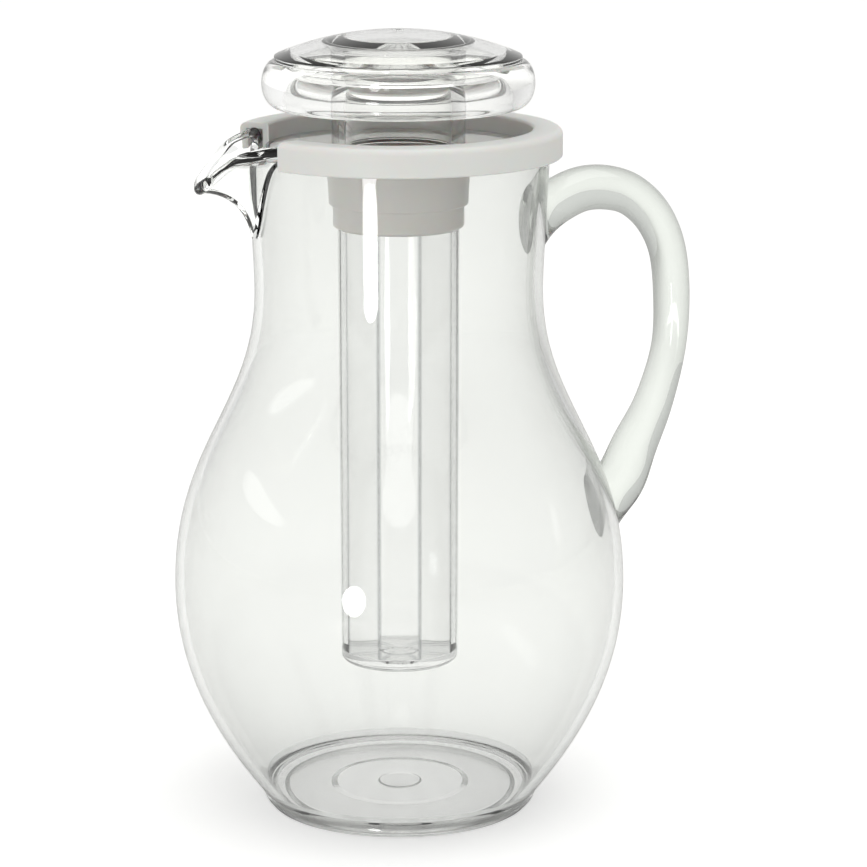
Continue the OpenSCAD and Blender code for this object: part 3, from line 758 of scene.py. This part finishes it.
socketLowZ = core["seamZ"] + runGap
socketInR, socketTopZ = lid["stemR"] + core["bondGap"], discLowZ - core["bondGap"]

coreSocket = turned("coreSocket", [Vector(p) for p in (
    (threadR + runGap, socketLowZ), (core["socketR"] - core["socketRound"], socketLowZ),
    (core["socketR"], socketLowZ + core["socketRound"]), (core["socketTopR"], socketTopZ),
    (socketInR, socketTopZ), (socketInR, stemLowZ),
    (threadR + runGap, stemLowZ - runGap))], core["around"])
finished(coreSocket, collarSatin, "lid", "collar_plastic", "core_socket")

washerR, boreR = threadR - runGap, lid["stemBoreR"]
washerLowZ, washerTopZ = stemLowZ - core["washerT"] + core["bondGap"], stemLowZ - core["bondGap"]
coreWasher = turned("coreWasher", [Vector(p) for p in (
    (boreR, washerLowZ), (washerR - edgeRound, washerLowZ), (washerR, washerLowZ + edgeRound),
    (washerR, washerTopZ - edgeRound), (washerR - edgeRound, washerTopZ),
    (boreR, washerTopZ))], core["around"])
finished(coreWasher, siliconeMilk, "lid", "silicone", "core_washer")

coreNut = turned("coreNut", [Vector((holeR, core["nutLowZ"]))]
                 + [Vector((core["nutR"] - inset, core["nutLowZ"] + up)) for inset, up in core["nutEdge"]]
                 + [Vector(p) for p in (
                     (core["nutR"], core["seamZ"] - edgeRound), (core["nutR"] - edgeRound, core["seamZ"]),
                     (threadR, core["seamZ"]), (threadR, flangeLowZ - runGap),
                     (holeR, flangeLowZ - runGap))], core["around"])
finished(coreNut, collarSatin, "tube_nut", "collar_plastic", "core_nut")


def tubeOutline():
    lowR, low, r = core["tubeR"] - core["draft"], core["lowZ"], core["round"]
    hangR, hangZ = threadR - runGap, flangeLowZ + core["flangeT"] - runGap
    return ([Vector((0, low - core["nubH"])), Vector((core["nubR"], low - core["nubH"])),
             Vector((core["nubR"] + core["nubH"], low))]
            + arc((lowR - r, low + r), r, r, -90, 0, 8)
            + [Vector((core["tubeR"], core["nutLowZ"])), Vector((core["tubeR"], flangeLowZ)),
               Vector((hangR, flangeLowZ)), Vector((hangR, hangZ)), Vector((0, hangZ))])


# the bore's eight flutes are drawn as a plug, a little fuller than flat, and taken out of the tube
def borePlug():
    sides, steps = core["flutes"], core["fluteSteps"]
    wide = 2 * math.pi / sides
    low, top = core["lowZ"] + core["floorT"], flangeLowZ + core["flangeT"] + 1
    rings = []
    for inset, z in [(inset, low + up) for inset, up in core["boreFoot"]] + [(0, top)]:
        ring = []
        for i in range(sides * steps):
            share = (i % steps) / steps
            w = math.radians(core["fluteTurn"]) + wide * (i // steps + share)
            flat = math.cos(wide / 2) / math.cos(wide * (share - 0.5))
            r = (core["boreR"] - inset) * flat + 4 * core["fluteBulge"] * share * (1 - share)
            ring.append(Vector((r * math.cos(w), r * math.sin(w), z)))
        rings.append(ring)
    return lofted("borePlug", rings)


coreTube = turned("coreTube", tubeOutline(), core["around"])
cutBy(coreTube, borePlug())
finished(coreTube, tubeClear, "ice_tube", "tube_plastic", "core_tube", angle=core["creaseAngle"])

# a pale floor, white to the camera and through clear plastic, less so in gloss and beyond the handle
stage = {
    "half": 3.0, "floorTint": (0.82, 0.82, 0.81, 1), "glow": 0.50, "glossGlow": 0.08, "clearGlow": 0.18,
    "sideWay": (0.96, -0.28, 0), "sideFrom": 0.0, "sideTo": 0.9, "sideShade": 0.4,
}
backFinish = Finish("paleStage")
cameraRay, glossRay, clearRay = backFinish.rays("Camera", "Glossy", "Transmission")
away = backFinish.along(backFinish.places(), stage["sideWay"])
clearLight = backFinish.ramp(away, stage["sideFrom"], stage["sideTo"], stage["glow"] + stage["clearGlow"],
                             stage["sideShade"] * stage["glow"], "SMOOTHSTEP")
paper = backFinish.node("BsdfDiffuse", None, {"Color": stage["floorTint"]})
glow = backFinish.node("Emission", None, {
    "Color": (1, 1, 1, 1),
    "Strength": cameraRay * stage["glow"] + clearRay * clearLight + glossRay * stage["glossGlow"]})
paleStage = backFinish.surface(backFinish.node("AddShader", None, {0: paper, 1: glow}))

bpy.ops.object.select_all(action="DESELECT")
bpy.ops.mesh.primitive_plane_add(size=2 * stage["half"])
stageFloor = bpy.context.object
stageFloor.name = "stageFloor"
stageFloor.data.materials.append(paleStage)
print("stage made")

# soft studio light: a big box overhead, one behind the camera, a low strip to the left, a small lamp
lamps = {
    "overhead": {"place": (0.1, -0.2, 1.6), "aim": (0, 0, 0.12), "size": (1.4, 1.2),
                 "power": 7, "shape": "RECTANGLE"},
    "keyBox": {"place": (-0.35, -1.25, 0.97), "aim": (0, 0, 0.13), "size": (0.46, 0.46),
               "power": 0.6, "shape": "DISK"},
    "leftStrip": {"place": (-1.18, 0.20, 0.50), "aim": (0, 0, 0.13), "size": (0.80, 0.12),
                  "power": 0.2, "shape": "ELLIPSE"},
    "lowRound": {"place": (-0.315, -0.421, 0.064), "aim": (0, 0, 0.13), "size": (0.10, 0.10),
                 "power": 0.24, "shape": "DISK"},
}
for name, lamp in lamps.items():
    toward = Vector(lamp["aim"]) - Vector(lamp["place"])
    bpy.ops.object.light_add(type="AREA", location=lamp["place"],
                             rotation=toward.to_track_quat("-Z", "Y").to_euler())
    light = bpy.context.object
    light.name = name
    light.data.shape = lamp["shape"]
    light.data.size, light.data.size_y = lamp["size"]
    light.data.energy = lamp["power"]

# the room lights evenly and the camera sees it white; clear plastic sees it nearly so, gloss sees it a
# little grey at the horizon and dark towards the ceiling, and both see it greyer beyond the handle
room = {
    "light": (0.61, 0.61, 0.60, 1), "white": (1, 1, 1, 1),
    "glossWall": (0.82, 0.82, 0.81, 1), "glossCeiling": (0.36, 0.36, 0.35, 1),
    "clearWall": (1, 1, 1, 1), "clearCeiling": (0.97, 0.97, 0.96, 1),
    "fadeFrom": 0.06, "fadeTo": 0.7,
    "sideWay": (0.96, -0.28, 0), "sideFrom": 0.1, "sideTo": 0.95, "sideShade": (0.66, 0.66, 0.66, 1),
}
world = bpy.data.worlds.new("room")
scene.world = world
world.use_nodes = True
airFinish = Finish("room", world.node_tree)
cameraRay, glossRay, clearRay = airFinish.rays("Camera", "Glossy", "Transmission")
way = airFinish.node("TexCoord", output="Generated")
across = airFinish.along(way, room["sideWay"])
fade = airFinish.ramp(airFinish.parts(way)[2], room["fadeFrom"], room["fadeTo"], way="SMOOTHSTEP")
side = airFinish.ramp(across, room["sideFrom"], room["sideTo"], way="SMOOTHSTEP")
wall = airFinish.tint(clearRay, room["glossWall"], room["clearWall"])
ceiling = airFinish.tint(clearRay, room["glossCeiling"], room["clearCeiling"])
shade = airFinish.tint(side, room["white"], room["sideShade"])
look = airFinish.node("Mix", {"data_type": "RGBA", "blend_type": "MULTIPLY"},
                      {"Factor": 1.0, 6: airFinish.tint(fade, wall, ceiling), 7: shade}, output=2)
lookRay = airFinish.maths("MAXIMUM", glossRay, clearRay)
colour = airFinish.tint(cameraRay, airFinish.tint(lookRay, room["light"], look), room["white"])
world.node_tree.links.new(colour.socket, world.node_tree.nodes["Background"].inputs["Color"])
print("lights set")
